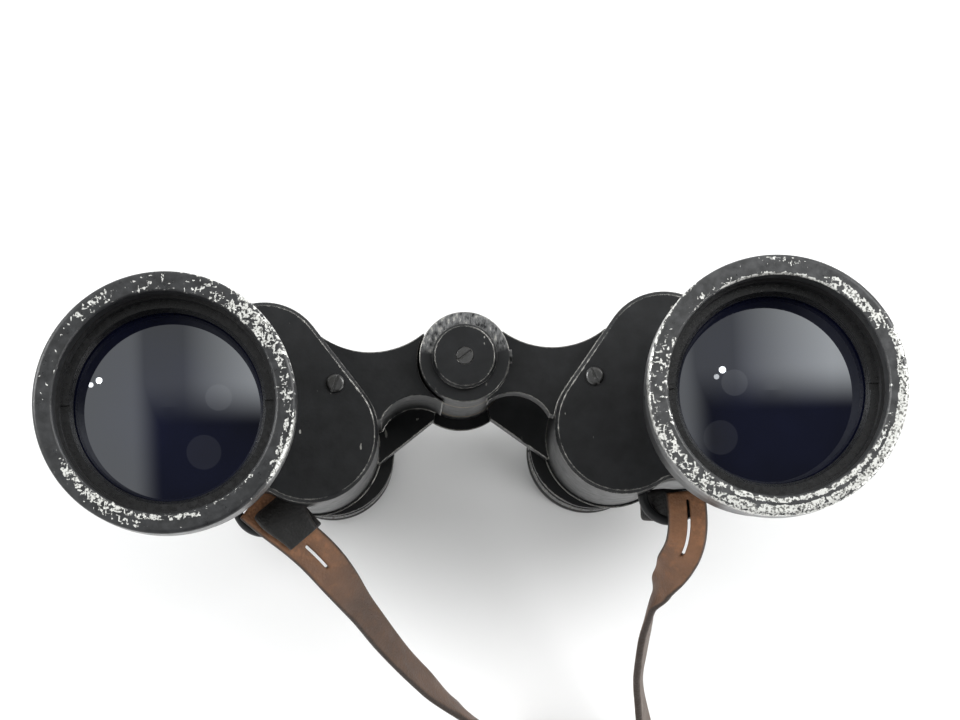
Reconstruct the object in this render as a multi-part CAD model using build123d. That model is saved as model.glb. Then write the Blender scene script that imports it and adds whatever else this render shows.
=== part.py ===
"""Porro prism binoculars of the 7x45 class, with individual focusing and a leather neck strap.

Millimetres. +Z runs along the optical axes from the eyes to the objectives, +X across the two
halves and +Y to the hinge side. The plane Y = 0 holds both objective axes, and Z = 0 is the
surface that the eyecups stand on. Each sub-part is one STEP file in parts/. The right half is
modelled, and mirrored for the left one.
"""
from build123d import *
from math import atan2, cos, degrees, hypot, pi, radians, sin, sqrt, tan
import os

# ---- layout of the optical axes and the hinge -------------------------------------------------
OBJECTIVE = (72.4, 0.0)
EYE = (36.0, -4.2)                # 72 mm between the eyes at rest
CORNER = (51.4, 14.9)             # where the light runs between the two prisms
HINGE_Y = 15.2

# ---- heights above the table ------------------------------------------------------------------
REAR_Z, FRONT_Z = 38.5, 93.5      # rear and front faces of the prism housing
RIM_TOP = 164.0                   # front face of the objective rim
SHELF_Z, SHELF_T = 64.0, 4.0      # the shelf that both prisms seat on

# ---- prism housing and covers -----------------------------------------------------------------
EYE_LOBE = (40.3, -3.4)           # centre of the round end over the eyepiece
EYE_LOBE_R, CORNER_LOBE_R, OBJECTIVE_LOBE_R = 17.7, 15.9, 20.0
NECK_INSET, NECK_FILLET = 3.2, 6.0
WALL = 2.4
COVER_T, COVER_BEVEL = 1.8, 0.9
REAR_COVER_T, REAR_LIP = 2.2, 0.7
CLEAR = 0.15                      # between fixed pieces
WINDOW_R = 9.2                    # light windows in the shelf

# ---- prisms -----------------------------------------------------------------------------------
PRISM_HALF_WIDTH = 9.4
PRISM_OVERRUN = 10.0              # glass beyond each light axis
PRISM_H = 19.0                    # over the long face, with the apex ground off
PRISM_ROOM = 0.6                  # between the glass and the chamber's wall
CLIP_T, CLIP_W = 0.7, 6.0

# ---- objective --------------------------------------------------------------------------------
RIM_R, RIM_BORE_R, RIM_H = 31.0, 26.2, 14.0
RIM_POCKET = 6.0                  # how deep the barrel sits in the rim
RIM_STEP, RIM_STEP_H = 0.7, 2.4
RIM_ROUND, RIM_BEVEL = 0.9, 0.4
BARREL_R, BARREL_WALL = 29.4, 2.2
NECK_R, NECK_TOP, CONE_TOP = 25.0, 110.0, 126.0
SPIGOT_R, SPIGOT_H = 21.0, 4.5
SEAT_R, SEAT_H = 22.3, 5.0
LENS_R, CLEAR_APERTURE_R = 24.5, 22.7
LENS_DEPTH = 17.0                 # rim face down to the front lens's edge
LENS_EDGE_T, FLINT_T = 5.0, 3.6
LENS_CURVE, CEMENT_CURVE = 150.0, 120.0
CELL_H = 22.0
THREAD_RELIEF = 0.8
RETAINER_H, NOTCH_W, NOTCH_D = 3.8, 1.6, 1.0

# ---- hinge ------------------------------------------------------------------------------------
KNUCKLE_R, AXLE_R = 11.6, 5.0
RUNNING = 0.05                    # radial running clearance
SWING_CLEAR = 0.5                 # round the other half's knuckle
FRONT_KNUCKLE = (78.0, 95.5)
REAR_KNUCKLE = (36.5, 46.0)
WASHER_T, END_PLAY = 0.9, 0.05
ARM_TOP = 88.0
CAP_R, CAP_H, CAP_BEVEL = 8.35, 3.0, 0.7
CAP_SCREW_R, CAP_SCREW_PROUD = 2.1, 0.3
LOCK_SCREW_Z, LOCK_SCREW_R, LOCK_SCREW_PROUD = 91.8, 1.9, 0.7
REAR_DISC_R, REAR_DISC_T = 14.6, 2.4

# ---- eyepiece ---------------------------------------------------------------------------------
TUBE_R, TUBE_WALL, TUBE_BOTTOM = 14.0, 1.8, 15.0
TUBE_FLANGE_R, TUBE_FLANGE_T = 17.4, 3.0
FOCUS_RING_R = 17.2
FOCUS_RING = (11.0, 29.0)
GRIPS, GRIP_R, GRIP_EDGE = 36, 0.6, 3.0
SCALE_H, SCALE_STEP = 6.0, 0.8     # the smooth band above the grips, for a dioptre scale
CELL_WALL = 1.6
EYECUP_R, EYECUP_H = 17.1, 9.0
MOUTH_R, MOUTH_DEPTH = 13.4, 5.2
EYE_LENS_SHOULDER, FIELD_LENS_SHOULDER = 2.75, 2.25   # cell wall outside each lens

# ---- screws -----------------------------------------------------------------------------------
SCREW_HEAD_R, SCREW_HEAD_H, SCREW_R, SCREW_L = 2.4, 1.2, 1.1, 5.0
SLOT_W, SLOT_D = 0.7, 0.7
BOSS_R, BOSS_H = 2.6, 5.4
FRONT_SCREWS = [(33.2, 9.3), (57.6, 25.2)]
REAR_SCREWS = [(39.4, 17.6), (57.0, 26.0), (85.0, 9.0), (62.0, -14.2)]

# ---- strap lug and strap ----------------------------------------------------------------------
LUG = (53.0, -20.4, 76.0)
LUG_RING_R, LUG_WIRE_R = 7.0, 1.3
LUG_FOOT = (3.6, 5.0)             # width and height of each foot of the wire
LUG_FOOT_PROUD = 0.8              # how far a foot covers the wire past the ring's middle
STRAP_W, STRAP_T = 9.0, 2.4
CORD_R = sqrt(STRAP_W * STRAP_T / pi)     # round tube of the flat strap's section
FOLD_L, FOLD_SET, FOLD_T = 5.0, -1.8, 1.2
FOLD_HEADING = {-1: 40.0, 1: 25.0}        # how far each end leans to +X from -Y
COIL_CENTRE, COIL_R = (-8.0, -140.0), 51.5
STRAP_LEFT = [
    (-44.0, -30.6, 76.0), (-38.8, -35.0, 75.0), (-33.2, -41.2, 70.5), (-27.6, -49.0, 62.5),
    (-21.2, -57.6, 52.5), (-13.8, -66.0, 41.0), (-5.2, -74.0, 29.0), (4.4, -81.0, 17.5),
    (14.2, -87.8, 9.0), (25.2, -95.4, 5.0),
]
STRAP_RIGHT = [
    (59.0, -33.2, 76.0), (60.8, -38.2, 74.0), (58.8, -43.6, 68.5), (54.2, -48.8, 61.0),
    (50.0, -54.6, 53.0), (47.2, -61.2, 44.5), (45.9, -69.6, 34.0), (47.4, -78.8, 23.5),
    (50.2, -88.8, 13.5), (49.8, -99.6, 7.0), (47.4, -110.0, 5.0), (43.6, -121.5, 4.6),
]

HALVES = {"left": -1, "right": 1}


def rod(radius, low, high, x=0.0, y=0.0):
    return Pos(x, y, low) * extrude(Circle(radius), high - low)


def tube(outer, inner, low, high, x=0.0, y=0.0):
    return Pos(x, y, low) * extrude(Circle(outer) - Circle(inner), high - low)


def plate(outline, low, high):
    return Pos(0, 0, low) * extrude(outline, high - low)


def revolved(points):
    """A solid of revolution about Z from (radius, height) corners."""
    return revolve(make_face(Polyline([(r, 0, z) for r, z in points], close=True)), Axis.Z)


def sagitta(curve, radius):
    return curve - sqrt(curve**2 - radius**2)


# ---- prism housing ----------------------------------------------------------------------------
def belt(first, first_r, second, second_r):
    """The outline of a belt round two circles."""
    (x0, y0), (x1, y1) = first, second
    gap, heading = hypot(x1 - x0, y1 - y0), atan2(y1 - y0, x1 - x0)
    half = atan2(sqrt(gap**2 - (first_r - second_r) ** 2), first_r - second_r)
    corners = []
    for angle in (heading + half, heading - half):
        corners.append((x0 + first_r * cos(angle), y0 + first_r * sin(angle)))
        corners.append((x1 + second_r * cos(angle), y1 + second_r * sin(angle)))
    sides = make_face(Polyline([corners[k] for k in (0, 1, 3, 2)], close=True))
    return sides + Pos(x0, y0) * Circle(first_r) + Pos(x1, y1) * Circle(second_r)


def housing_outline(grow=0.0):
    """Three round ends: over the eyepiece, at the prisms' corner and round the objective."""
    eye_r, corner_r = EYE_LOBE_R + grow, CORNER_LOBE_R + grow
    objective_r = OBJECTIVE_LOBE_R + grow
    outline = belt(EYE_LOBE, eye_r, CORNER, corner_r)
    outline += belt(CORNER, corner_r, OBJECTIVE, objective_r)
    outline += belt(EYE_LOBE, eye_r - NECK_INSET, OBJECTIVE, objective_r - NECK_INSET)
    low = [v for v in outline.vertices() if v.Y < EYE_LOBE[1] - (EYE_LOBE_R - NECK_INSET) / 2]
    low = sorted(low, key=lambda v: v.X)
    return fillet([low[0], low[-1]], NECK_FILLET)


# Corner points of the webs between the hinge and the housing.
ARM_TOP_EDGE = [(10.3, 22.3), (23.6, 17.8), (36.8, 22.3)]
FRONT_SCALLOP = [(5.8, 4.1), (12.6, 6.3), (21.8, 0.3)]
REAR_EDGE = [(7.6, 2.9), (22.6, -8.4)]


def arm_outline(low_edge):
    """The web from the hinge to the housing: a hollow upper edge, with low_edge below it."""
    start, dip, end = ARM_TOP_EDGE
    if len(low_edge) == 3:
        lower = ThreePointArc(*low_edge)
    else:
        lower = Line(*low_edge)
    inside = [low_edge[-1], EYE_LOBE, CORNER, end]
    hub = [start, (AXLE_R, HINGE_Y), low_edge[0]]
    edges = [ThreePointArc(start, dip, end), lower]
    edges += [Line(a, b) for a, b in zip(inside, inside[1:])]
    edges += [Line(a, b) for a, b in zip(hub, hub[1:])]
    return make_face(Curve() + edges)


MIDDLE_KNUCKLE = (
    REAR_KNUCKLE[1] + WASHER_T + 2 * END_PLAY,
    FRONT_KNUCKLE[0] - WASHER_T - 2 * END_PLAY,
)


def arms(outer_knuckles):
    """Webs and knuckles: one half has the front and rear knuckles, the other the middle one."""
    front = plate(arm_outline(FRONT_SCALLOP), FRONT_KNUCKLE[0], ARM_TOP)
    rear = plate(arm_outline(REAR_EDGE), REAR_Z, REAR_KNUCKLE[1])
    if outer_knuckles:
        web = front + rear
        for low, high in (FRONT_KNUCKLE, REAR_KNUCKLE):
            web += rod(KNUCKLE_R, low, high, 0, HINGE_Y)
        return web - rod(AXLE_R, 0, RIM_TOP, 0, HINGE_Y)
    web = front + rear + plate(arm_outline(FRONT_SCALLOP), REAR_KNUCKLE[1], FRONT_KNUCKLE[0])
    swing = KNUCKLE_R + SWING_CLEAR
    web -= rod(swing, 0, MIDDLE_KNUCKLE[0], 0, HINGE_Y)
    web -= rod(swing, MIDDLE_KNUCKLE[1], RIM_TOP, 0, HINGE_Y)
    web += rod(KNUCKLE_R, *MIDDLE_KNUCKLE, 0, HINGE_Y)
    return web - rod(AXLE_R + RUNNING, 0, RIM_TOP, 0, HINGE_Y)


def prism_housing(outer_knuckles):
    """A thin casting with a shelf between its two prism chambers, open at both faces."""
    outline, chamber = housing_outline(), housing_outline(-WALL)
    bore = OBJECTIVE_LOBE_R - WALL
    shelf_top = SHELF_Z + SHELF_T
    body = plate(outline, REAR_Z, FRONT_Z) + arms(outer_knuckles)
    body += rod(SPIGOT_R, FRONT_Z, FRONT_Z + SPIGOT_H, *OBJECTIVE)
    body -= plate(chamber, shelf_top, FRONT_Z)
    body -= plate(chamber, REAR_Z, SHELF_Z)
    body += rod(SEAT_R, FRONT_Z - SEAT_H, FRONT_Z, *OBJECTIVE)
    body -= rod(bore, shelf_top, FRONT_Z + SPIGOT_H, *OBJECTIVE)
    for x, y in (OBJECTIVE, EYE, CORNER):
        body -= rod(WINDOW_R, SHELF_Z, shelf_top, x, y)
    for screws, low, high, tip, face in (
        (FRONT_SCREWS, FRONT_Z - BOSS_H, FRONT_Z, FRONT_Z - SCREW_L, FRONT_Z),
        (REAR_SCREWS, REAR_Z, REAR_Z + BOSS_H, REAR_Z, REAR_Z + SCREW_L),
    ):
        for x, y in screws:
            body += rod(BOSS_R, low, high, x, y) & plate(outline, low, high)
            body -= rod(SCREW_R, tip, face, x, y)
    if outer_knuckles:
        body -= lock_screw_blank(0, LOCK_SCREW_PROUD + WALL)
    return body


def front_cover():
    """The lid of the front prism chamber, with a bevelled edge and a bite for the objective."""
    lid = plate(housing_outline(), FRONT_Z, FRONT_Z + COVER_T)
    lid = chamfer(lid.edges().group_by(Axis.Z)[-1], COVER_BEVEL)
    lid -= rod(SEAT_R + CLEAR, FRONT_Z - 1, FRONT_Z + COVER_T + 1, *OBJECTIVE)
    for x, y in FRONT_SCREWS:
        lid -= rod(SCREW_R, FRONT_Z - 1, FRONT_Z + COVER_T + 1, x, y)
    return max(lid.solids(), key=lambda piece: piece.volume)


def rear_cover():
    """The rear lid, a little wider than the housing, with a hole for the eyepiece tube."""
    low = REAR_Z - REAR_COVER_T
    lid = plate(housing_outline(REAR_LIP), low, REAR_Z)
    lid = fillet(lid.edges().group_by(Axis.Z)[0], REAR_LIP)
    lid -= rod(TUBE_R - TUBE_WALL, low - 1, REAR_Z + 1, *EYE)
    for x, y in REAR_SCREWS:
        lid -= rod(SCREW_R, low - 1, REAR_Z + 1, x, y)
    return lid


def slotted_screw(shank, turn):
    """A raised round head standing on z = 0, with its shank below."""
    head = rod(SCREW_HEAD_R, 0, SCREW_HEAD_H)
    head = fillet(head.edges().group_by(Axis.Z)[-1], SCREW_HEAD_H * 0.6)
    slot = Pos(0, 0, SCREW_HEAD_H) * Box(3 * SCREW_HEAD_R, SLOT_W, 2 * SLOT_D)
    return head - Rot(0, 0, turn) * slot + rod(SCREW_R, -shank, 0)


def cover_screws():
    """Round-headed screws, two in the front cover and four in the rear one."""
    turns = (115.0, 20.0, 70.0, 150.0)
    screws = []
    for (x, y), turn in zip(FRONT_SCREWS, turns):
        top = Pos(x, y, FRONT_Z + COVER_T)
        screws.append(top * slotted_screw(SCREW_L + COVER_T - CLEAR, turn))
    for (x, y), turn in zip(REAR_SCREWS, turns):
        under = Pos(x, y, REAR_Z - REAR_COVER_T) * Rot(180, 0, 0)
        screws.append(under * slotted_screw(SCREW_L + REAR_COVER_T - CLEAR, turn))
    return Part() + screws


# ---- objective --------------------------------------------------------------------------------
BARREL_TOP = RIM_TOP - RIM_H + RIM_POCKET
BARREL_BORE_R = BARREL_R - BARREL_WALL
LENS_TOP = RIM_TOP - LENS_DEPTH
LENS_MIDDLE = LENS_TOP - LENS_EDGE_T
RETAINER_Z = LENS_TOP + 1.2
MOUTH = LENS_R + CLEAR + THREAD_RELIEF


def objective_barrel():
    """A short neck, a cone and a straight tube, screwed on the housing's spigot."""
    foot, spigot_top = FRONT_Z + COVER_T + CLEAR, FRONT_Z + SPIGOT_H + CLEAR
    neck_bore = NECK_R - BARREL_WALL
    return Pos(*OBJECTIVE) * revolved([
        (SPIGOT_R, FRONT_Z), (SEAT_R, FRONT_Z), (SEAT_R, foot), (NECK_R, foot),
        (NECK_R, NECK_TOP), (BARREL_R, CONE_TOP), (BARREL_R, BARREL_TOP),
        (BARREL_BORE_R, BARREL_TOP), (BARREL_BORE_R, CONE_TOP), (neck_bore, NECK_TOP),
        (neck_bore, spigot_top), (SPIGOT_R, spigot_top),
    ])


def rim_face_edges(ring):
    """The rim's front edges, the bore's first."""
    circles = ring.edges().filter_by(GeomType.CIRCLE)
    return sorted((e for e in circles if abs(e.center().Z - RIM_TOP) < 0.01), key=lambda e: e.radius)


def objective_rim():
    """The protective ring: a flat face, a plain bore and a stepped lower edge."""
    low = RIM_TOP - RIM_H
    ring = revolved([
        (BARREL_R, low), (RIM_R - RIM_STEP, low), (RIM_R - RIM_STEP, low + RIM_STEP_H),
        (RIM_R, low + RIM_STEP_H), (RIM_R, RIM_TOP), (RIM_BORE_R, RIM_TOP),
        (RIM_BORE_R, BARREL_TOP), (BARREL_R, BARREL_TOP),
    ])
    ring = fillet(rim_face_edges(ring)[-1], RIM_ROUND)
    return Pos(*OBJECTIVE) * chamfer(rim_face_edges(ring)[0], RIM_BEVEL)


def objective_cell():
    """The sleeve that holds the lens pair on a shoulder, with a thread relief in its mouth."""
    outer, top = BARREL_BORE_R - CLEAR, BARREL_TOP
    bore, shoulder = LENS_R + CLEAR, LENS_MIDDLE - FLINT_T
    return Pos(*OBJECTIVE) * revolved([
        (CLEAR_APERTURE_R, top - CELL_H), (outer, top - CELL_H), (outer, top), (MOUTH, top),
        (MOUTH, RETAINER_Z), (bore, RETAINER_Z), (bore, shoulder), (CLEAR_APERTURE_R, shoulder),
    ])


def retaining_ring():
    """A threaded ring in front of the lens, with two key notches and a sloping bore."""
    top = RETAINER_Z + RETAINER_H
    ring = revolved([
        (CLEAR_APERTURE_R, RETAINER_Z), (MOUTH, RETAINER_Z), (MOUTH, top),
        (CLEAR_APERTURE_R + THREAD_RELIEF, top), (CLEAR_APERTURE_R, top - RETAINER_H / 2),
    ])
    notch = Pos(0, 0, top) * Box(3 * RIM_R, NOTCH_W, 2 * NOTCH_D)
    return Pos(*OBJECTIVE) * (ring - notch)


def cement_sphere():
    return Pos(0, 0, LENS_MIDDLE - sagitta(CEMENT_CURVE, LENS_R) + CEMENT_CURVE) * Sphere(CEMENT_CURVE)


def objective_crown():
    """The front element, convex on both sides."""
    dome = sagitta(LENS_CURVE, LENS_R)
    blank = rod(LENS_R, LENS_MIDDLE - LENS_EDGE_T, LENS_TOP + dome + 1)
    front = Pos(0, 0, LENS_TOP + dome - LENS_CURVE) * Sphere(LENS_CURVE)
    return Pos(*OBJECTIVE) * (blank & front & cement_sphere())


def objective_flint():
    """The rear element, cemented to the crown."""
    blank = rod(LENS_R, LENS_MIDDLE - FLINT_T, LENS_MIDDLE)
    return Pos(*OBJECTIVE) * (blank - cement_sphere())


# ---- prisms -----------------------------------------------------------------------------------
def on_shelf(shape, first, second, upward):
    """Puts a shape made on z = 0 on the shelf, midway between two light axes."""
    heading = degrees(atan2(second[1] - first[1], second[0] - first[0]))
    x, y = (first[0] + second[0]) / 2, (first[1] + second[1]) / 2
    if upward:
        return Pos(x, y, SHELF_Z + SHELF_T + CLEAR) * Rot(0, 0, heading) * shape
    return Pos(x, y, SHELF_Z - CLEAR) * Rot(0, 0, heading) * Rot(180, 0, 0) * shape


def prism(first, second, upward):
    """A right-angle prism on its long face, with its ends rounded to suit the chamber."""
    half = hypot(second[0] - first[0], second[1] - first[1]) / 2 + PRISM_OVERRUN
    apex = half - PRISM_H
    side = make_face(Polyline(
        [(-half, 0, 0), (half, 0, 0), (apex, 0, PRISM_H), (-apex, 0, PRISM_H)], close=True
    ))
    block = on_shelf(extrude(side, PRISM_HALF_WIDTH, both=True), first, second, upward)
    return block & plate(housing_outline(-WALL - PRISM_ROOM), REAR_Z, FRONT_Z)


def prism_clip(first, second, upward):
    """A spring strap over the ground apex, with two legs down to the shelf."""
    inner, height = PRISM_HALF_WIDTH + 2 * CLEAR, PRISM_H + CLEAR
    strap = Pos(0, 0, (height + CLIP_T) / 2) * Box(CLIP_W, 2 * (inner + CLIP_T), height + CLIP_T)
    strap -= Pos(0, 0, height / 2) * Box(2 * CLIP_W, 2 * inner, height)
    return on_shelf(strap, first, second, upward)


# ---- eyepiece ---------------------------------------------------------------------------------
TUBE_TOP = REAR_Z - REAR_COVER_T
OCULAR_R = TUBE_R - TUBE_WALL - RUNNING
EYE_LENS_R, FIELD_LENS_R = OCULAR_R - EYE_LENS_SHOULDER, OCULAR_R - FIELD_LENS_SHOULDER


def eyepiece_tube():
    """The fixed sleeve below the rear cover."""
    bore, flange_low = TUBE_R - TUBE_WALL, TUBE_TOP - TUBE_FLANGE_T
    return Pos(*EYE) * revolved([
        (bore, TUBE_BOTTOM), (TUBE_R, TUBE_BOTTOM), (TUBE_R, flange_low),
        (TUBE_FLANGE_R, flange_low), (TUBE_FLANGE_R, TUBE_TOP), (bore, TUBE_TOP),
    ])


def focus_ring():
    """The ribbed ring that focuses one eyepiece; it turns on the fixed tube."""
    low, high = FOCUS_RING
    bore, waist = TUBE_R + RUNNING, FOCUS_RING_R - SCALE_STEP
    ring = revolved([
        (bore, low), (waist, low), (waist, low + GRIP_EDGE - 1.0),
        (FOCUS_RING_R, low + GRIP_EDGE), (FOCUS_RING_R, high - SCALE_H),
        (waist, high - SCALE_H + GRIP_R), (waist, high - GRIP_R), (waist - GRIP_R, high),
        (bore, high),
    ])
    grip = rod(GRIP_R, low + GRIP_EDGE + GRIP_R, high - SCALE_H - GRIP_R)
    grip = Pos(FOCUS_RING_R + GRIP_R / 2, 0) * grip
    return Pos(*EYE) * (ring - [Rot(0, 0, 360 * k / GRIPS) * grip for k in range(GRIPS)])


def ocular_cell():
    """The keyed inner sleeve with the eyepiece lenses, and the shoulder under the eyecup."""
    top, seat = REAR_Z - 6.0, FOCUS_RING[0] - CLEAR
    eye_bore, field_bore = EYE_LENS_R + CLEAR, FIELD_LENS_R + CLEAR
    collar = OCULAR_R - CELL_WALL / 2
    return Pos(*EYE) * revolved([
        (eye_bore, MOUTH_DEPTH + 0.8), (collar, MOUTH_DEPTH + 0.8), (collar, EYECUP_H),
        (FOCUS_RING_R - 1.2, EYECUP_H), (FOCUS_RING_R - 1.2, seat), (OCULAR_R, seat),
        (OCULAR_R, top), (field_bore, top), (field_bore, EYECUP_H + 4.0),
        (eye_bore, EYECUP_H + 2.0),
    ])


def eyecup():
    """A turned cup with a hollow mouth; the object stands on its rim."""
    collar, top = OCULAR_R - CELL_WALL / 2 + CLEAR, EYECUP_H - CLEAR
    return Pos(*EYE) * revolved([
        (MOUTH_R + 0.6, 0), (EYECUP_R - 1.2, 0), (EYECUP_R, 1.2), (EYECUP_R, 3.0),
        (EYECUP_R - 0.7, 4.4), (EYECUP_R - 0.7, top), (collar, top), (collar, MOUTH_DEPTH),
        (EYE_LENS_R - 1.0, MOUTH_DEPTH), (MOUTH_R, 0.9),
    ])


def biconvex(radius, low, thick, curve):
    blank = rod(radius, low - curve, low + thick + curve)
    top = Pos(0, 0, low + thick - curve) * Sphere(curve)
    bottom = Pos(0, 0, low + curve) * Sphere(curve)
    return Pos(*EYE) * (blank & top & bottom)


# ---- hinge ------------------------------------------------------------------------------------
def lock_screw_blank(start, proud):
    """A radial rod from a distance off the axle's axis to just outside the knuckle."""
    place = Pos(start, HINGE_Y, LOCK_SCREW_Z) * Rot(0, 90, 0)
    return place * rod(LOCK_SCREW_R, 0, KNUCKLE_R + proud - start)


def hinge_lock_screw():
    """The grub screw that locks the axle in the front knuckle, seen from its side."""
    slot = Pos(KNUCKLE_R + LOCK_SCREW_PROUD, HINGE_Y, LOCK_SCREW_Z)
    blank = lock_screw_blank(AXLE_R + CLEAR, LOCK_SCREW_PROUD)
    return blank - slot * Box(2 * SLOT_D, 3 * LOCK_SCREW_R, SLOT_W)


def hinge_cap():
    """The round cap over the front end of the axle, drilled for its screw."""
    top = FRONT_KNUCKLE[1] + CAP_H
    cap = rod(CAP_R, FRONT_KNUCKLE[1], top, 0, HINGE_Y)
    cap = chamfer(cap.edges().group_by(Axis.Z)[-1], CAP_BEVEL)
    return cap - rod(CAP_SCREW_R, FRONT_KNUCKLE[1], top, 0, HINGE_Y)


def hinge_cap_screw():
    """A slotted screw, nearly flush with the cap."""
    top = FRONT_KNUCKLE[1] + CAP_H + CAP_SCREW_PROUD
    screw = rod(CAP_SCREW_R, FRONT_KNUCKLE[1], top, 0, HINGE_Y)
    slot = Pos(0, HINGE_Y, top) * Rot(0, 0, 35) * Box(3 * CAP_SCREW_R, SLOT_W, 2 * SLOT_D)
    return screw - slot


def rear_disc():
    """The round plate under the hinge that carries the eye distance scale."""
    high = REAR_KNUCKLE[0]
    disc = rod(REAR_DISC_R, high - REAR_DISC_T, high, 0, HINGE_Y)
    return chamfer(disc.edges().group_by(Axis.Z)[0], REAR_DISC_T / 4)


# ---- strap lug and strap ----------------------------------------------------------------------
def strap_lug():
    """A bail of wire, a little over half a ring, with two feet on the housing's lower flank."""
    x, y, z = LUG
    face = y + LUG_FOOT_PROUD
    bail = Pos(x, y, z) * Torus(LUG_RING_R, LUG_WIRE_R)
    bail &= Pos(x, face - LUG_RING_R, z) * Box(4 * LUG_RING_R, 2 * LUG_RING_R, 4 * LUG_WIRE_R)
    width, height = LUG_FOOT
    foot = Box(width, LUG_RING_R, height, align=(Align.CENTER, Align.MIN, Align.CENTER))
    feet = [Pos(x + shift, face - CLEAR, z) * foot for shift in (-LUG_RING_R, LUG_RING_R)]
    return bail + feet - plate(housing_outline(), REAR_Z, FRONT_Z)


def strap_fold(side):
    """The strap's end, folded flat round the lug's wire and back on itself."""
    inner = LUG_WIRE_R + CLEAR + 0.2
    outer, far = inner + FOLD_T, FOLD_L
    section = Pos(FOLD_SET, 0) * (Circle(outer) - Circle(inner))
    section -= Pos(FOLD_SET + outer, 0) * Rectangle(2 * outer, 3 * outer)
    for z in ((inner + outer) / 2, -(inner + outer) / 2):
        section += Pos((FOLD_SET + far) / 2, z) * Rectangle(far - FOLD_SET, FOLD_T)
    fold = extrude(Plane.XZ * section, STRAP_W / 2, both=True)
    out = Pos(side * LUG[0], LUG[1], LUG[2]) * Rot(0, 0, FOLD_HEADING[side] - 90)
    return out * Pos(LUG_RING_R, 0) * fold


def bend_radii(points):
    """The largest arc that each corner's two runs allow."""
    corners = [Vector(*point) for point in points]
    radii = []
    for before, here, after in zip(corners, corners[1:], corners[2:]):
        first, second = here - before, after - here
        turn = radians(first.get_angle(second))
        radii.append(0.45 * min(first.length, second.length) / tan(turn / 2))
    return radii


def strap_run(name, points):
    """A free stretch of the strap, as a round tube of the same section area."""
    radii = bend_radii(points)
    path = FilletPolyline(*points, radius=radii)
    section = Plane(origin=path @ 0, z_dir=path % 0) * Circle(CORD_R)
    run = sweep(section, path=path)
    share = run.volume / (path.length * pi * CORD_R**2)
    print(name, round(path.length, 1), "mm long, radii", [round(r) for r in radii],
          "volume over section times length", round(share, 4))
    return run


def strap_coil():
    """The rest of the strap, wound on edge: the outer shape of the coil."""
    return rod(COIL_R, 0, STRAP_W, *COIL_CENTRE)


# ---- the files --------------------------------------------------------------------------------
def half_pieces(outer_knuckles):
    return {
        "prism_housing": prism_housing(outer_knuckles),
        "front_cover": front_cover(),
        "rear_cover": rear_cover(),
        "cover_screws": cover_screws(),
        "objective_barrel": objective_barrel(),
        "objective_rim": objective_rim(),
        "objective_cell": objective_cell(),
        "retaining_ring": retaining_ring(),
        "objective_crown": objective_crown(),
        "objective_flint": objective_flint(),
        "front_prism": prism(EYE, CORNER, True),
        "rear_prism": prism(CORNER, OBJECTIVE, False),
        "front_prism_clip": prism_clip(EYE, CORNER, True),
        "rear_prism_clip": prism_clip(CORNER, OBJECTIVE, False),
        "eyepiece_tube": eyepiece_tube(),
        "focus_ring": focus_ring(),
        "ocular_cell": ocular_cell(),
        "field_lens": biconvex(FIELD_LENS_R, REAR_Z - 14, 5.0, 26.0),
        "eye_lens": biconvex(EYE_LENS_R, MOUTH_DEPTH + 1.0, 4.6, 22.0),
        "eyecup": eyecup(),
        "strap_lug": strap_lug(),
    }


pieces = {}
for half, side in HALVES.items():
    for name, shape in half_pieces(side > 0).items():
        pieces[f"{half}_{name}"] = shape if side > 0 else mirror(shape, Plane.YZ)
    pieces[f"strap_fold_{half}"] = strap_fold(side)

pieces["hinge_axle"] = rod(AXLE_R, REAR_KNUCKLE[0], FRONT_KNUCKLE[1], 0, HINGE_Y)
pieces["hinge_lock_screw"] = hinge_lock_screw()
pieces["hinge_cap"] = hinge_cap()
pieces["hinge_cap_screw"] = hinge_cap_screw()
pieces["hinge_rear_disc"] = rear_disc()
for place, low in (("rear", REAR_KNUCKLE[1]), ("front", MIDDLE_KNUCKLE[1])):
    washer = tube(KNUCKLE_R, AXLE_R + RUNNING, low + END_PLAY, low + END_PLAY + WASHER_T, 0, HINGE_Y)
    pieces[f"hinge_washer_{place}"] = washer
pieces["strap_left"] = strap_run("strap_left", STRAP_LEFT)
pieces["strap_right"] = strap_run("strap_right", STRAP_RIGHT)
pieces["strap_coil"] = strap_coil()

os.makedirs("parts", exist_ok=True)
for name, shape in pieces.items():
    export_step(shape, f"parts/{name}.step")
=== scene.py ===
"""Porro prism binoculars standing on their eyecups, seen from above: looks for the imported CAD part.

Metres, in the row frame: +Z towards the objectives, +X across the halves, +Y to the hinge.
"""
import math

import bmesh
import bpy
from mathutils import Matrix, Vector, noise


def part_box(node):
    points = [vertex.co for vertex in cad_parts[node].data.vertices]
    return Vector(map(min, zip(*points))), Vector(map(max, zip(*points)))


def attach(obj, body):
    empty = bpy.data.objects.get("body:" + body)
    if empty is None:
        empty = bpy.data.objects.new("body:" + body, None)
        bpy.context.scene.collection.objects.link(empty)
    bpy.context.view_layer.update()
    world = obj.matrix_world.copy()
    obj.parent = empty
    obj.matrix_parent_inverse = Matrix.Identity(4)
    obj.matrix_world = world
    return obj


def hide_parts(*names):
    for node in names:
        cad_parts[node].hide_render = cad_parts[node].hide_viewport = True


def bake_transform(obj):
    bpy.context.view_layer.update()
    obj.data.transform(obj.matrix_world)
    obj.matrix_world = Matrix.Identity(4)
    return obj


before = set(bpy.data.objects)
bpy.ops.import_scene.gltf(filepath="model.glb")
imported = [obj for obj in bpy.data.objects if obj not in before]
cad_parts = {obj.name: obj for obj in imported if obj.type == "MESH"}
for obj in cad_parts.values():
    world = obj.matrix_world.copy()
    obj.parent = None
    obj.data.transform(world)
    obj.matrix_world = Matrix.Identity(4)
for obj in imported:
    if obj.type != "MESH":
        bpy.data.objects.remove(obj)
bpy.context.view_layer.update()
scene = bpy.context.scene
MM = 0.001
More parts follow.
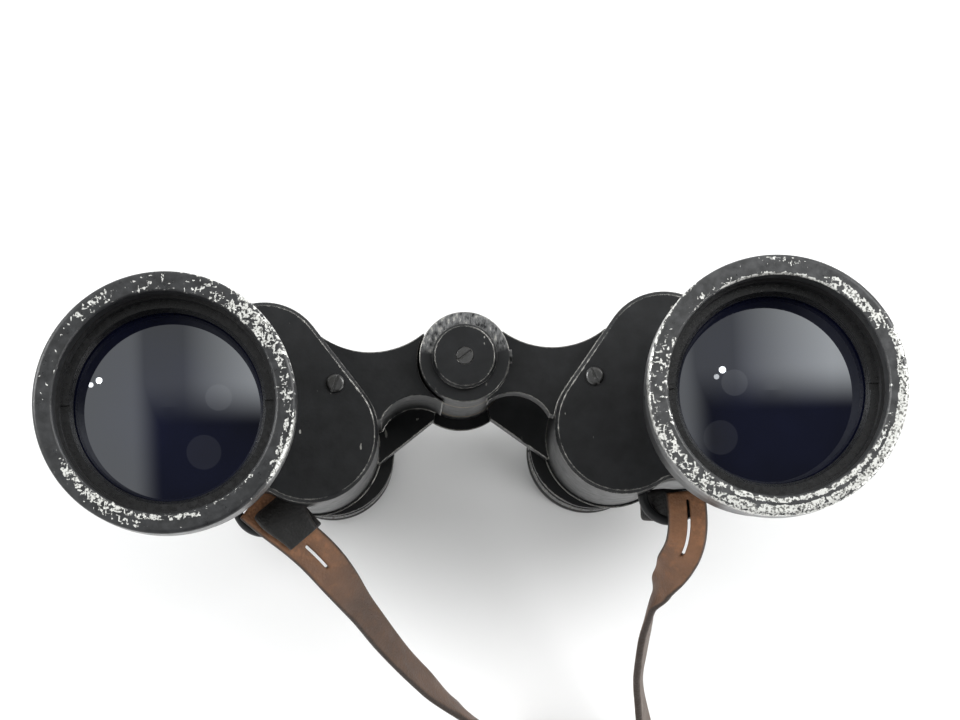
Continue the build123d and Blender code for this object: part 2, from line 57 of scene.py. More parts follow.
HALVES = {"left": -1, "right": 1}
HINGE_Y = 0.0152                      # the hinge axis stands at X = 0


# ---- camera -----------------------------------------------------------------------------------
def link(obj):
    scene.collection.objects.link(obj)
    return obj


camera = link(bpy.data.objects.new("camera", bpy.data.cameras.new("camera")))
camera.data.sensor_width, camera.data.lens = 36, 123.75
camera.data.clip_start, camera.data.clip_end = 0.01, 20
camera.location = (-0.0192, -0.06555, 0.93719)
camera.rotation_euler = [math.radians(a) for a in (5.46, -1.41, -1.74)]
scene.camera = camera
scene.view_settings.view_transform = "Standard"


# ---- node helper ------------------------------------------------------------------------------
class Look:
    """A material under construction: a Principled shader and short calls for its nodes."""

    def __init__(self, name, **constants):
        self.material = bpy.data.materials.new(name)
        self.material.use_nodes = True
        self.tree = self.material.node_tree
        self.tree.nodes.clear()
        self.out = self.tree.nodes.new("ShaderNodeOutputMaterial")
        self.shader = self.tree.nodes.new("ShaderNodeBsdfPrincipled")
        self.tree.links.new(self.shader.outputs[0], self.out.inputs["Surface"])
        self.place = self.new("ShaderNodeTexCoord").outputs["Object"]
        for name, value in constants.items():
            self.set(name.replace("_", " "), value)

    def new(self, kind, **settings):
        node = self.tree.nodes.new(kind)
        for key, value in settings.items():
            setattr(node, key, value)
        return node

    def feed(self, socket, value):
        if isinstance(value, bpy.types.NodeSocket):
            self.tree.links.new(value, socket)
        elif isinstance(value, tuple) and len(value) == 3 and socket.type == "RGBA":
            socket.default_value = (*value, 1.0)
        else:
            socket.default_value = value

    def set(self, name, value):
        self.feed(self.shader.inputs[name], value)

    def math(self, operation, a, b=0.0, clamp=False):
        node = self.new("ShaderNodeMath", operation=operation, use_clamp=clamp)
        self.feed(node.inputs[0], a)
        self.feed(node.inputs[1], b)
        return node.outputs[0]

    def add(self, a, b):
        return self.math("ADD", a, b)

    def times(self, a, b):
        return self.math("MULTIPLY", a, b)

    def most(self, a, b):
        return self.math("MAXIMUM", a, b)

    def rescale(self, value, low, high, to_low=0.0, to_high=1.0, smooth=False):
        node = self.new("ShaderNodeMapRange", clamp=True)
        if smooth:
            node.interpolation_type = "SMOOTHSTEP"
        for k, v in enumerate((value, low, high, to_low, to_high)):
            self.feed(node.inputs[k], v)
        return node.outputs[0]

    def noise(self, size, detail=3.0, rough=0.55, place=None, warp=0.0):
        """A noise whose features are about size metres across."""
        node = self.new("ShaderNodeTexNoise")
        self.feed(node.inputs["Vector"], place or self.place)
        node.inputs["Scale"].default_value = 1 / size
        node.inputs["Detail"].default_value = detail
        node.inputs["Roughness"].default_value = rough
        node.inputs["Distortion"].default_value = warp
        return node.outputs[0]

    def cells(self, size):
        node = self.new("ShaderNodeTexVoronoi")
        self.feed(node.inputs["Vector"], self.place)
        node.inputs["Scale"].default_value = 1 / size
        return node.outputs[0]

    def stretched(self, scales, turn=(0.0, 0.0, 0.0), place=None):
        node = self.new("ShaderNodeMapping")
        self.feed(node.inputs["Vector"], place or self.place)
        node.inputs["Scale"].default_value = scales
        node.inputs["Rotation"].default_value = turn
        return node.outputs[0]

    def mix(self, factor, a, b):
        node = self.new("ShaderNodeMix", data_type="RGBA")
        self.feed(node.inputs[0], factor)
        self.feed(node.inputs[6], a)
        self.feed(node.inputs[7], b)
        return node.outputs[2]

    def bump(self, height, depth, normal=None):
        """Bump whose height of 1 stands depth metres proud."""
        node = self.new("ShaderNodeBump")
        node.inputs["Distance"].default_value = depth
        self.feed(node.inputs["Height"], height)
        if normal is not None:
            self.feed(node.inputs["Normal"], normal)
        return node.outputs[0]

    def rounded(self, radius):
        """The normal with edges rounded, and how far it leans away from the face's own."""
        bevel = self.new("ShaderNodeBevel", samples=6)
        bevel.inputs["Radius"].default_value = radius
        dot = self.new("ShaderNodeVectorMath", operation="DOT_PRODUCT")
        self.feed(dot.inputs[0], bevel.outputs[0])
        self.feed(dot.inputs[1], self.new("ShaderNodeNewGeometry").outputs["Normal"])
        lean = self.math("SUBTRACT", 1.0, dot.outputs["Value"])
        return bevel.outputs[0], lean

    def polar(self, x, y):
        """The distance from a vertical axis and the angle round it, in radians."""
        shift = self.new("ShaderNodeVectorMath", operation="SUBTRACT")
        self.feed(shift.inputs[0], self.place)
        shift.inputs[1].default_value = (x, y, 0.0)
        split = self.new("ShaderNodeSeparateXYZ")
        self.feed(split.inputs[0], shift.outputs[0])
        x, y, z = split.outputs
        radius = self.math("SQRT", self.add(self.times(x, x), self.times(y, y)))
        return radius, self.math("ARCTAN2", y, x), z


def paint(node, look):
    """Gives a CAD node its material."""
    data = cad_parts[node].data
    data.materials.clear()
    data.materials.append(look.material)


# ---- materials --------------------------------------------------------------------------------
BARE = (0.50, 0.49, 0.46)             # the light alloy under the enamel
BLACK = (0.0065, 0.0068, 0.0075)


def enamel(name, round_edge, wear, chips, gloss=(0.30, 0.44), base=BLACK, pebble=0.0, pale_knuckle=False):
    """Black stoved enamel, worn through to bright metal along its edges and chipped elsewhere.

    wear and chips move the thresholds: 0.5 wears most edges through, 0 leaves them whole.
    """
    look = Look(name, Specular_IOR_Level=0.30)
    normal, lean = look.rounded(round_edge)
    patches = look.noise(0.011, 5, 0.6)
    fine = look.noise(0.0011, 4, 0.62)
    edge = look.rescale(lean, 0.015, 0.16)
    keep = look.times(look.rescale(patches, 0.36, 0.66), edge)
    worn = look.add(look.times(keep, 0.62), look.times(fine, 0.55))
    worn = look.rescale(worn, 0.90 - wear, 0.98 - wear)
    worn = look.times(worn, look.rescale(edge, 0.02, 0.2))
    spots = look.noise(0.0016, 2, 0.5, place=look.stretched((1.0, 0.45, 0.7), (0.3, 0.2, 0.7)))
    spots = look.rescale(spots, 0.745 - chips, 0.765 - chips)
    spots = look.times(spots, look.rescale(patches, 0.42, 0.60))
    bare = look.most(worn, spots)
    if pale_knuckle:
        # On the side away from the user, the front knuckle is scratched to bare metal and coloured
        # lighter grey.
        radius, angle, z = look.polar(0.0, HINGE_Y)
        disc = look.times(look.rescale(radius, 0.0119, 0.0114), look.rescale(z, 0.0945, 0.0950))
        away = look.times(disc, look.rescale(look.math("SINE", angle), 0.10, 0.30))
        scratch = look.noise(0.0011, 4, 0.65, place=look.stretched((1.0, 0.5, 1.0)))
        bare = look.most(bare, look.times(away, look.rescale(scratch, 0.56, 0.62)))
        paler = look.times(away, look.rescale(scratch, 0.36, 0.52))
    grime = look.noise(0.006, 5, 0.65)
    enamelled = look.mix(look.rescale(grime, 0.35, 0.75), base, tuple(2.1 * c for c in base))
    if pale_knuckle:
        # The far side of the knuckle face is mixed towards light grey.
        enamelled = look.mix(paler, enamelled, (0.150, 0.151, 0.152))
    metal = look.mix(look.rescale(fine, 0.35, 0.7), tuple(0.55 * c for c in BARE), BARE)
    look.set("Base Color", look.mix(bare, enamelled, metal))
    look.set("Metallic", bare)
    shine = look.rescale(look.noise(0.004, 5, 0.65), 0.3, 0.75, *gloss)
    look.set("Roughness", look.math("ADD", shine, look.times(bare, 0.06)))
    skin = look.add(look.noise(0.0009, 2, 0.5), look.times(look.noise(0.003, 2, 0.5), 0.8))
    height = look.add(look.times(skin, 0.5), look.times(bare, -0.6))
    if pebble:
        height = look.add(height, look.times(look.cells(0.0011), pebble))
    look.set("Normal", look.bump(height, 0.00004, normal))
    return look


def rim_enamel(name, centre, arcs, seed, paint_tone):
    """The objective rim: enamel knocked through in bright flecks, thickest in a few arcs."""
    look = Look(name)
    radius, angle, z = look.polar(*centre)
    normal, lean = look.rounded(0.0006)
    shifted = look.new("ShaderNodeVectorMath", operation="ADD")
    look.feed(shifted.inputs[0], look.place)
    shifted.inputs[1].default_value = (seed, -seed, seed)
    place = shifted.outputs[0]
    dense = 0.0
    for middle, width, weight, low, high in arcs:
        gap = look.math("COSINE", look.math("SUBTRACT", angle, math.radians(middle)))
        near = look.rescale(gap, math.cos(math.radians(width)), 1.0, smooth=True)
        inner = look.rescale(radius, low - 0.0005, low + 0.0002)
        outer = look.rescale(radius, high + 0.0005, high - 0.0002)
        near = look.times(look.math("POWER", near, 0.6), look.times(inner, outer))
        dense = look.most(look.times(near, weight), dense)
    patches = look.noise(0.0045, 2, 0.5, place=place)
    one = look.noise(0.0010, 1.5, 0.5, look.stretched((1.0, 0.42, 1.0), (0, 0, 0.7), place), 0.8)
    two = look.noise(0.00085, 1.5, 0.5, look.stretched((0.45, 1.0, 1.0), (0, 0, 0.4), place), 0.6)
    speck = look.noise(0.0006, 2, 0.55, place=place)
    flecks = look.add(look.times(look.most(one, two), 0.8), look.times(speck, 0.2))
    edge = look.times(look.rescale(lean, 0.02, 0.15), look.rescale(z, 0.1600, 0.1625))
    want = look.add(look.times(dense, 0.17), look.times(look.math("SUBTRACT", patches, 0.5), 0.26))
    want = look.add(want, look.times(edge, 0.075))
    wall = look.times(look.rescale(radius, 0.0265, 0.0262), look.rescale(z, 0.1632, 0.1624))
    want = look.math("SUBTRACT", want, look.times(wall, 0.6))
    want = look.math("SUBTRACT", want, look.rescale(z, 0.1622, 0.1570, 0.0, 0.32))
    bare = look.rescale(look.add(want, flecks), 0.728, 0.760)
    metal = look.mix(look.rescale(speck, 0.40, 0.52), (0.16, 0.16, 0.15), (0.72, 0.72, 0.69))
    cloud = look.rescale(look.noise(0.0025, 4, 0.6), 0.4, 0.7)
    dust = look.mix(cloud, tuple(0.45 * c for c in paint_tone), paint_tone)
    look.set("Base Color", look.mix(bare, dust, metal))
    look.set("Metallic", look.times(bare, 0.55))
    look.set("Roughness", look.rescale(look.noise(0.003, 4, 0.6), 0.3, 0.8, 0.26, 0.42))
    height = look.add(look.times(bare, -0.8), look.times(look.noise(0.0016, 3, 0.5, place=place), 0.7))
    look.set("Normal", look.bump(height, 0.00009, normal))
    return look


def plain_metal(name, colour, rough, dirt=(0.02, 0.018, 0.015)):
    """Bare turned metal with stains and fine scratches."""
    look = Look(name, Metallic=1.0)
    normal, _ = look.rounded(0.0002)
    stain = look.noise(0.003, 5, 0.65)
    look.set("Base Color", look.mix(look.rescale(stain, 0.45, 0.75), colour, tuple(
        0.45 * c + d for c, d in zip(colour, dirt))))
    look.set("Roughness", look.rescale(look.noise(0.0015, 4, 0.6), 0.3, 0.7, rough * 0.8, rough * 1.3))
    scratch = look.noise(0.0005, 2, 0.5, place=look.stretched((1.0, 0.06, 1.0)))
    look.set("Normal", look.bump(scratch, 0.00002, normal))
    return look


def threads(name, colour, pitch, depth, rough=0.32):
    """Matt black lacquer over a turned thread: fine ridges up the axis."""
    look = Look(name)
    split = look.new("ShaderNodeSeparateXYZ")
    look.feed(split.inputs[0], look.place)
    ridge = look.math("SINE", look.times(split.outputs[2], 2 * math.pi / pitch))
    speck = look.noise(0.0012, 4, 0.6)
    pale = tuple(2.5 * c for c in colour)
    look.set("Base Color", look.mix(look.rescale(speck, 0.5, 0.8), colour, pale))
    look.set("Roughness", look.rescale(speck, 0.3, 0.7, rough * 0.85, rough * 1.3))
    look.set("Normal", look.bump(look.add(look.times(ridge, 0.5), look.times(speck, 0.15)), depth))
    return look


def lens_glass(name, body, tint, rough=0.015):
    """Coated glass over a dark barrel: deep colour below and a tinted mirror on top."""
    look = Look(name, IOR=1.62, Coat_Weight=1.0, Coat_Roughness=0.01, Coat_IOR=1.7, Roughness=rough)
    look.set("Specular Tint", tint)
    look.set("Coat Tint", (0.93, 0.97, 1.0))
    cloud = look.noise(0.02, 2, 0.5)
    look.set("Base Color", look.mix(look.rescale(cloud, 0.3, 0.7), body, tuple(0.5 * c for c in body)))
    dust = look.rescale(look.noise(0.0009, 3, 0.6), 0.70, 0.74)
    look.set("Roughness", look.rescale(dust, 0.0, 1.0, rough, 0.2))
    return look


def leather(name, face, back, dark):
    """Strap leather: grain on its face, fibres on its back and burnished dark edges."""
    look = Look(name, Sheen_Weight=0.04, Sheen_Roughness=0.6)
    side = look.new("ShaderNodeAttribute", attribute_name="side").outputs["Fac"]
    across = look.new("ShaderNodeAttribute", attribute_name="across").outputs["Fac"]
    along = look.new("ShaderNodeAttribute", attribute_name="along").outputs["Fac"]
    grain = look.cells(0.0007)
    fibre = look.noise(0.0006, 5, 0.7, warp=0.5)
    blotch = look.noise(0.009, 5, 0.6)
    worn = look.noise(0.0035, 6, 0.7)
    top = look.mix(look.rescale(blotch, 0.35, 0.7), face, tuple(0.55 * c for c in face))
    paler = look.times(look.rescale(worn, 0.52, 0.68), 0.65)
    top = look.mix(paler, top, tuple(1.5 * c for c in face))
    flesh = look.mix(look.rescale(fibre, 0.35, 0.7), back, tuple(0.6 * c for c in back))
    colour = look.mix(look.rescale(side, 0.4, 0.6), top, flesh)
    faded = look.rescale(along, 0.008, 0.040)
    grey = look.mix(blotch, (0.080, 0.057, 0.045), (0.038, 0.027, 0.021))
    colour = look.mix(look.times(faded, 0.72), colour, grey)
    rim = look.rescale(look.add(across, look.times(worn, 0.16)), 0.93, 1.04)
    look.set("Base Color", look.mix(rim, colour, dark))
    look.set("Roughness", look.rescale(worn, 0.3, 0.7, 0.46, 0.70))
    height = look.add(look.times(grain, 0.5), look.add(look.times(fibre, 0.5), look.times(worn, 1.0)))
    look.set("Normal", look.bump(height, 0.00022))
    return look


cover_look = enamel("cover_enamel", 0.0006, 0.56, 0.0, gloss=(0.34, 0.48))
body_look = enamel("body_enamel", 0.0006, 0.53, 0.0, pebble=0.2, pale_knuckle=True)
barrel_look = enamel("barrel_enamel", 0.0006, 0.30, 0.0, gloss=(0.30, 0.42))
cap_look = enamel("cap_enamel", 0.0005, 0.57, 0.015, gloss=(0.30, 0.42))
screw_look = plain_metal("screw_steel", (0.10, 0.10, 0.10), 0.34)
steel_look = plain_metal("bare_steel", (0.46, 0.45, 0.43), 0.30)
brass_look = plain_metal("brass_parts", (0.42, 0.30, 0.13), 0.34, dirt=(0.02, 0.012, 0.004))
cell_look = threads("cell_lacquer", (0.0055, 0.0055, 0.006), 0.0009, 0.00022)
ring_look = threads("retaining_ring_lacquer", (0.006, 0.006, 0.0065), 0.0007, 0.00012, 0.26)
eyecup_look = enamel(
    "eyecup_bakelite", 0.0005, 0.02, -0.02, gloss=(0.26, 0.36), base=(0.010, 0.0095, 0.009))
lens_look = lens_glass("coated_glass", (0.005, 0.006, 0.019), (0.80, 0.88, 1.0))
glass_look = lens_glass("optical_glass", (0.010, 0.012, 0.018), (0.9, 0.9, 1.0))
strap_look = leather("strap_leather", (0.27, 0.120, 0.052), (0.22, 0.145, 0.095), (0.030, 0.018, 0.012))
tab_look = leather("tab_leather", (0.0035, 0.003, 0.0028), (0.05, 0.026, 0.014), (0.012, 0.008, 0.006))

# Arcs of heavy wear: middle and half width in degrees, weight, and the radii between which it lies.
LEFT_ARCS = [
    (75, 42, 0.75, 0.0268, 0.0305), (44, 26, 1.15, 0.0265, 0.0308), (126, 16, 1.0, 0.0270, 0.0298),
    (12, 26, 0.95, 0.0280, 0.0300), (-12, 28, 1.25, 0.0288, 0.0298), (-22, 22, 2.2, 0.0303, 0.0315),
    (-105, 44, 1.2, 0.0266, 0.0279), (-135, 22, 1.35, 0.0268, 0.0287), (-118, 26, 0.75, 0.0285, 0.0300),
    (165, 40, 0.35, 0.0270, 0.0308), (-60, 26, 0.8, 0.0264, 0.0274), (45, 50, 1.5, 0.0306, 0.0312),
]
RIGHT_ARCS = [
    (-78, 66, 1.75, 0.0286, 0.0304), (-78, 74, 1.7, 0.0268, 0.0277), (-20, 44, 1.9, 0.0285, 0.0312),
    (12, 26, 1.5, 0.0290, 0.0312), (-142, 30, 1.3, 0.0276, 0.0306), (46, 24, 1.35, 0.0268, 0.0290),
    (88, 44, 1.9, 0.0261, 0.0267), (124, 20, 0.9, 0.0263, 0.0280), (88, 20, 0.55, 0.0285, 0.0305),
    (176, 34, 0.75, 0.0262, 0.0306), (176, 60, 1.7, 0.0306, 0.0313), (-90, 70, 1.7, 0.0306, 0.0313),
]
for half, side in HALVES.items():
    for part, look in (
        ("prism_housing", body_look), ("front_cover", cover_look), ("rear_cover", cover_look),
        ("cover_screws", screw_look), ("objective_barrel", barrel_look), ("objective_cell", cell_look),
        ("retaining_ring", ring_look), ("objective_crown", lens_look), ("objective_flint", glass_look),
        ("front_prism", glass_look), ("rear_prism", glass_look), ("front_prism_clip", steel_look),
        ("rear_prism_clip", steel_look), ("eyepiece_tube", barrel_look), ("focus_ring", cap_look),
        ("ocular_cell", brass_look), ("field_lens", glass_look), ("eye_lens", lens_look),
        ("eyecup", eyecup_look), ("strap_lug", barrel_look),
    ):
        paint(f"{half}_{part}", look)
    low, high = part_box(f"{half}_objective_rim")
    centre = ((low.x + high.x) / 2, (low.y + high.y) / 2)
    arcs = LEFT_ARCS if side < 0 else RIGHT_ARCS
    tone = (0.030, 0.031, 0.033) if side < 0 else (0.055, 0.056, 0.058)
    rim_look = rim_enamel(f"{half}_rim_enamel", centre, arcs, 0.13 * (2 + side), tone)
    paint(f"{half}_objective_rim", rim_look)
for node, look in (
    ("hinge_axle", steel_look), ("hinge_cap", cap_look), ("hinge_cap_screw", screw_look),
    ("hinge_lock_screw", screw_look), ("hinge_rear_disc", cap_look), ("hinge_washer_front", brass_look),
    ("hinge_washer_rear", brass_look),
):
    paint(node, look)


# ---- strap ------------------------------------------------------------------------------------
STRAP_W, STRAP_T = 9.0 * MM, 2.4 * MM
LEFT_ROUTE = [
    (-55.8, -19.6, 77.6), (-50.4, -24.4, 78.6), (-44.4, -29.0, 77.6), (-38.6, -34.4, 75.0),
    (-33.2, -41.2, 70.5), (-27.6, -49.0, 62.5), (-21.2, -57.6, 52.5), (-13.8, -66.0, 41.0),
    (-5.2, -74.0, 29.0), (4.4, -81.0, 17.5), (14.2, -87.8, 9.0), (25.2, -95.4, 5.0),
]
RIGHT_ROUTE = [
    (57.0, -19.8, 77.4), (57.4, -25.0, 78.0), (57.4, -30.4, 77.0), (56.4, -35.4, 73.6),
    (53.8, -39.6, 68.8), (50.2, -45.2, 61.5), (47.8, -52.4, 53.5), (46.6, -61.0, 44.5),
    (45.9, -69.6, 34.0), (47.4, -78.8, 23.5), (50.2, -88.8, 13.5), (49.8, -99.6, 7.0),
    (47.4, -110.0, 5.0), (43.6, -121.5, 4.6),
]
COIL_CENTRE, COIL_R, LAYER = (-8.0, -140.0), 50.0, 4.2
COIL_Z, STEP = 4.5, 24.0              # strand height in mm, and degrees between points


def spiral(first, turned_from, turned_to):
    """Points on one arm of the wound strap; the turn is counted clockwise from angle first."""
    points, turned = [], turned_from
    while turned < turned_to + 0.1:
        radius = COIL_R - 2 * LAYER * turned / 360
        angle = math.radians(first - turned)
        x = COIL_CENTRE[0] + radius * math.cos(angle)
        y = COIL_CENTRE[1] + radius * math.sin(angle)
        points.append((x, y, COIL_Z))
        turned += STEP
    return points


def bow(start, end, side):
    """Five inner points of a half circle from start to end, bulging to one side."""
    a, b = Vector(start), Vector(end)
    middle, half = (a + b) / 2, (a - b) / 2
    points = []
    for k in range(1, 6):
        turn = Matrix.Rotation(side * math.pi * k / 6, 3, "Z")
        points.append(tuple(middle + turn @ half))
    return points


right_arm = spiral(5.0, 0.0, 550.0)
left_arm = spiral(185.0, 148.0, 550.0)
heart = (*COIL_CENTRE, COIL_Z)
route = LEFT_ROUTE + left_arm + bow(left_arm[-1], heart, -1) + [heart]
route += bow(heart, right_arm[-1], 1) + right_arm[::-1] + RIGHT_ROUTE[::-1]


def nurbs_line(points):
    """The points of a smooth NURBS line with these control points, in metres."""
    curve = bpy.data.curves.new("route", "CURVE")
    curve.dimensions, curve.resolution_u = "3D", 12
    spline = curve.splines.new("NURBS")
    spline.points.add(len(points) - 1)
    for place, point in zip(spline.points, points):
        place.co = (*(Vector(point) * MM), 1.0)
    spline.order_u, spline.use_endpoint_u = 3, True
    holder = bpy.data.objects.new("route", curve)
    mesh = bpy.data.meshes.new_from_object(holder)
    line = [v.co.copy() for v in mesh.vertices]
    bpy.data.meshes.remove(mesh)
    bpy.data.curves.remove(curve)
    return line


def respaced(line, step):
    """The line with evenly spaced points, and its length."""
    lengths = [0.0]
    for a, b in zip(line, line[1:]):
        lengths.append(lengths[-1] + (b - a).length)
    count = max(2, round(lengths[-1] / step))
    points, k = [], 0
    for j in range(count + 1):
        at = lengths[-1] * j / count
        while k < len(line) - 2 and lengths[k + 1] < at:
            k += 1
        share = (at - lengths[k]) / max(lengths[k + 1] - lengths[k], 1e-9)
        points.append(line[k].lerp(line[k + 1], min(max(share, 0.0), 1.0)))
    return points, lengths[-1]


def smooth(value):
    value = min(max(value, 0.0), 1.0)
    return value * value * (3 - 2 * value)


def along_table(table, at):
    """A smooth value between the (place, value) pairs of a table."""
    for (a, x), (b, y) in zip(table, table[1:]):
        if at <= b:
            return x + (y - x) * smooth((at - a) / (b - a))
    return table[-1][1]


def band(name, line, width, thick, twist, holes, look, columns, taper, wobble):
    """A flat band along a line, for its whole length.

    twist holds (metres from the start, lean in degrees, 0 lying flat) and taper (metres, share of the
    width). holes are slits along the middle, as (start, end).
    """
    mesh = bmesh.new()
    side_layer = mesh.verts.layers.float.new("side")
    across_layer = mesh.verts.layers.float.new("across")
    along_layer = mesh.verts.layers.float.new("along")
    total = sum((b - a).length for a, b in zip(line, line[1:]))
    rows, at, previous = [], 0.0, None
    edges = [-0.5 + k / columns for k in range(columns + 1)]
    for k, point in enumerate(line):
        if k:
            at += (point - line[k - 1]).length
        tangent = (line[min(k + 1, len(line) - 1)] - line[max(k - 1, 0)]).normalized()
        level = tangent.cross(Vector((0, 0, 1)))
        if level.length < 1e-4:
            level = previous
        level = level.normalized()
        previous = level
        turn = Matrix.Rotation(math.radians(along_table(twist, at)), 3, tangent)
        across, up = turn @ level, turn @ level.cross(tangent)
        size = width * along_table(taper, at)
        row = []
        for layer in (1, -1):
            for e in edges:
                proud = 0.45 if abs(e) > 0.499 else 1.0
                rough = wobble * noise.noise(Vector((at * 90, e * 3, layer * 5.0 + len(name))))
                offset = up * (layer * thick / 2 * proud + rough)
                vert = mesh.verts.new(point + offset + across * e * size)
                vert[side_layer] = 0.0 if layer > 0 else 1.0
                vert[across_layer] = abs(e) * 2
                vert[along_layer] = min(at, total - at)
                row.append(vert)
        rows.append((at, row))

    back, middle = columns + 1, columns // 2

    def slit(k):
        """Whether the stretch between rows k and k + 1 is slit."""
        return 0 <= k < len(rows) - 1 and any(
            start < (rows[k][0] + rows[k + 1][0]) / 2 < end for start, end in holes)

    for k, ((_, first), (_, second)) in enumerate(zip(rows, rows[1:])):
        cut = {middle} if slit(k) else set()
        for j in range(columns):
            if j in cut:
                continue
            mesh.faces.new((first[j], second[j], second[j + 1], first[j + 1]))
            mesh.faces.new(
                (first[back + j], first[back + j + 1], second[back + j + 1], second[back + j]))
            if j == 0 or j - 1 in cut:
                mesh.faces.new((first[j], first[back + j], second[back + j], second[j]))
            if j == columns - 1 or j + 1 in cut:
                mesh.faces.new((first[j + 1], second[j + 1], second[back + j + 1], first[back + j + 1]))
    for k, (_, row) in enumerate(rows):
        closed = []
        if slit(k - 1) != slit(k):
            closed += [(j, slit(k - 1)) for j in (middle - 1, middle)]
        if k in (0, len(rows) - 1):
            closed += [(j, k == 0) for j in range(columns)]
        for j, forward in closed:
            quad = (row[j], row[j + 1], row[back + j + 1], row[back + j])
            mesh.faces.new(quad if forward else quad[::-1])
    bmesh.ops.recalc_face_normals(mesh, faces=mesh.faces)
    data = bpy.data.meshes.new(name)
    mesh.to_mesh(data)
    mesh.free()
    data.materials.append(look.material)
    for polygon in data.polygons:
        polygon.use_smooth = True
    piece = link(bpy.data.objects.new(name, data))
    rounded = piece.modifiers.new("soften", "SUBSURF")
    rounded.levels = rounded.render_levels = 1
    return piece


strap_line, strap_length = respaced(nurbs_line(route), 0.0012)
print("strap", round(strap_length, 4), "m")
END = strap_length
TWIST = [
    (0.0, 0.0), (0.026, -4.0), (0.045, -34.0), (0.078, -52.0), (0.096, -72.0), (0.106, -92.0),
    (0.120, -128.0), (0.134, -108.0), (0.150, -90.0), (END - 0.150, -90.0), (END - 0.132, -104.0),
    (END - 0.108, -134.0), (END - 0.092, -118.0), (END - 0.072, -102.0), (END - 0.052, -104.0),
    (END - 0.038, -90.0), (END - 0.031, -50.0), (END - 0.021, -8.0), (END, 0.0),
]
SLITS = [(0.018, 0.0265), (END - 0.0185, END - 0.003)]
WIDER = [(0.0, 1.22), (0.022, 1.22), (0.050, 1.0), (END - 0.045, 1.0), (END - 0.020, 1.16), (END, 1.16)]
strap = band(
    "neck_strap", strap_line, STRAP_W, STRAP_T * 0.85, TWIST, SLITS, strap_look, 16, WIDER, 0.00015)


def tab(name, half, points, width, widths):
    """The dark leather end of the strap: it goes round the lug's wire and back over the strap.

    widths holds (share of the length, share of the width).
    """
    line, length = respaced(nurbs_line(points), 0.0006)
    taper = [(share * length, size) for share, size in widths]
    piece = band(name, line, width, 1.7 * MM, [(length, 0.0)], (), tab_look, 10, taper, 0.00012)
    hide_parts(f"strap_fold_{half}")
    return piece


left_tab = tab("strap_tab_left", "left", [
    (-42.6, -29.6, 79.6), (-45.2, -26.4, 80.4), (-48.6, -22.4, 81.0), (-50.4, -20.0, 79.6),
    (-50.6, -19.8, 76.0), (-49.6, -21.2, 72.8), (-46.6, -24.8, 72.6), (-42.4, -29.4, 74.2),
], 13.0 * MM, [(0.0, 0.72), (0.35, 1.0), (1.0, 0.9)])
right_tab = tab("strap_tab_right", "right", [
    (60.4, -23.6, 75.4), (57.4, -23.6, 76.0), (54.0, -23.4, 76.4), (50.4, -23.2, 75.6),
    (47.4, -23.2, 73.0), (46.2, -23.2, 69.4), (47.6, -23.2, 66.6), (50.2, -23.2, 66.2),
], 8.6 * MM, [(0.0, 0.8), (0.4, 1.0), (1.0, 0.8)])
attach(left_tab, "left_half")
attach(right_tab, "right_half")
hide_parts("strap_left", "strap_coil", "strap_right")
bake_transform(strap)


# ---- stage and light --------------------------------------------------------------------------
def floor():
    mesh = bpy.data.meshes.new("floor")
    mesh.from_pydata([(-4, -4, 0), (4, -4, 0), (4, 4, 0), (-4, 4, 0)], [], [(0, 1, 2, 3)])
    obj = link(bpy.data.objects.new("floor", mesh))
    look = Look("table_top", Roughness=0.55)
    look.set("Base Color", look.mix(look.noise(0.4, 2, 0.5), (0.90, 0.90, 0.905), (0.93, 0.93, 0.93)))
    mesh.materials.append(look.material)


def lamp(name, place, target, size, power):
    data = bpy.data.lights.new(name, "AREA")
    data.shape, data.size, data.energy = "DISK", size, power
    obj = link(bpy.data.objects.new(name, data))
    obj.location = place
    obj.rotation_euler = (Vector(target) - Vector(place)).to_track_quat("-Z", "Y").to_euler()
    obj.visible_camera = False


floor()
lamp("window_left", (-1.5, 0.45, 1.3), (0, 0, 0), 1.0, 30)
lamp("window_right", (1.3, 0.6, 1.3), (0, 0, 0), 0.9, 20)
lamp("window_near", (1.2, -0.7, 0.9), (0, 0, 0), 0.8, 9)
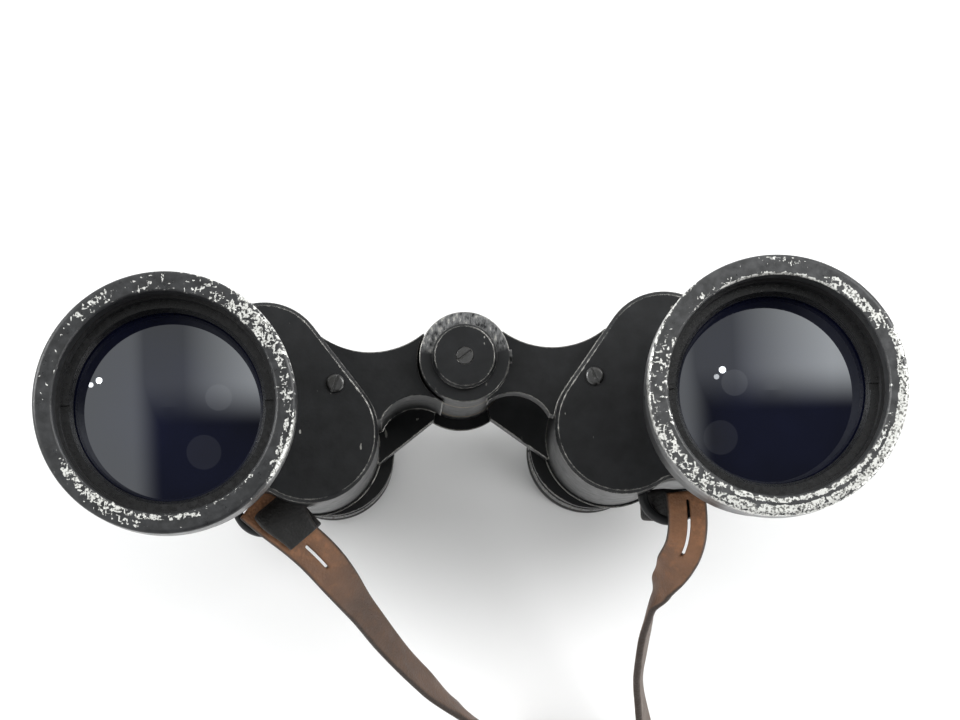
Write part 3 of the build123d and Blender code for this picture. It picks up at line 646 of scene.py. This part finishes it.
# Two dim reflections and four small glints on the front lenses.
lamp("pale_patch_far", (0.049, 0.115, 1.15), (-0.07, 0, 0.15), 0.10, 0.005)
lamp("pale_patch_near", (-0.011, -0.090, 1.15), (-0.07, 0, 0.15), 0.13, 0.004)
lamp("left_glint", (-0.411, 0.200, 1.15), (-0.07, 0, 0.15), 0.024, 0.045)
lamp("left_glint_low", (-0.445, 0.185, 1.15), (-0.07, 0, 0.15), 0.020, 0.010)
lamp("right_glint", (0.047, 0.0456, 0.40), (0.072, 0, 0.15), 0.008, 0.0022)
lamp("right_glint_low", (0.040, 0.038, 0.40), (0.072, 0, 0.15), 0.006, 0.0004)


def sky():
    world = bpy.data.worlds.new("room")
    scene.world = world
    world.use_nodes = True
    tree = world.node_tree
    tree.nodes.clear()

    def new(kind, **settings):
        node = tree.nodes.new(kind)
        for key, value in settings.items():
            setattr(node, key, value)
        return node

    def math_node(operation, a, b=0.0):
        node = new("ShaderNodeMath", operation=operation)
        for socket, value in zip(node.inputs, (a, b)):
            if isinstance(value, bpy.types.NodeSocket):
                tree.links.new(value, socket)
            else:
                socket.default_value = value
        return node.outputs[0]

    def step(value, low, high):
        node = new("ShaderNodeMapRange", clamp=True, interpolation_type="SMOOTHSTEP")
        tree.links.new(value, node.inputs[0])
        node.inputs[1].default_value, node.inputs[2].default_value = low, high
        return node.outputs[0]

    split = new("ShaderNodeSeparateXYZ")
    tree.links.new(new("ShaderNodeTexCoord").outputs["Generated"], split.inputs[0])
    x, y, z = split.outputs
    # The room is dim overhead on the near side, where somebody stands over the table, and brightens
    # towards the far right.
    right = math_node("MINIMUM", math_node("MULTIPLY", x, 8.0), 2.6)
    right = math_node("MULTIPLY", right, step(z, 0.70, 0.88))
    right = math_node("ADD", math_node("MAXIMUM", right, -0.1), 0.62)
    ahead = math_node("MULTIPLY", step(y, 0.01, 0.18), right)
    lit = math_node("MAXIMUM", ahead, step(math_node("MULTIPLY", x, -1.0), 0.09, 0.20))
    side = math_node("MULTIPLY", step(z, 0.85, 0.55), step(y, -0.75, 0.10))
    lit = math_node("MAXIMUM", lit, side)
    strength = math_node("ADD", math_node("MULTIPLY", lit, 0.86), 0.05)
    back = new("ShaderNodeBackground")
    back.inputs["Color"].default_value = (0.985, 1.0, 0.99, 1.0)
    tree.links.new(strength, back.inputs["Strength"])
    out = new("ShaderNodeOutputWorld")
    tree.links.new(back.outputs[0], out.inputs["Surface"])


sky()
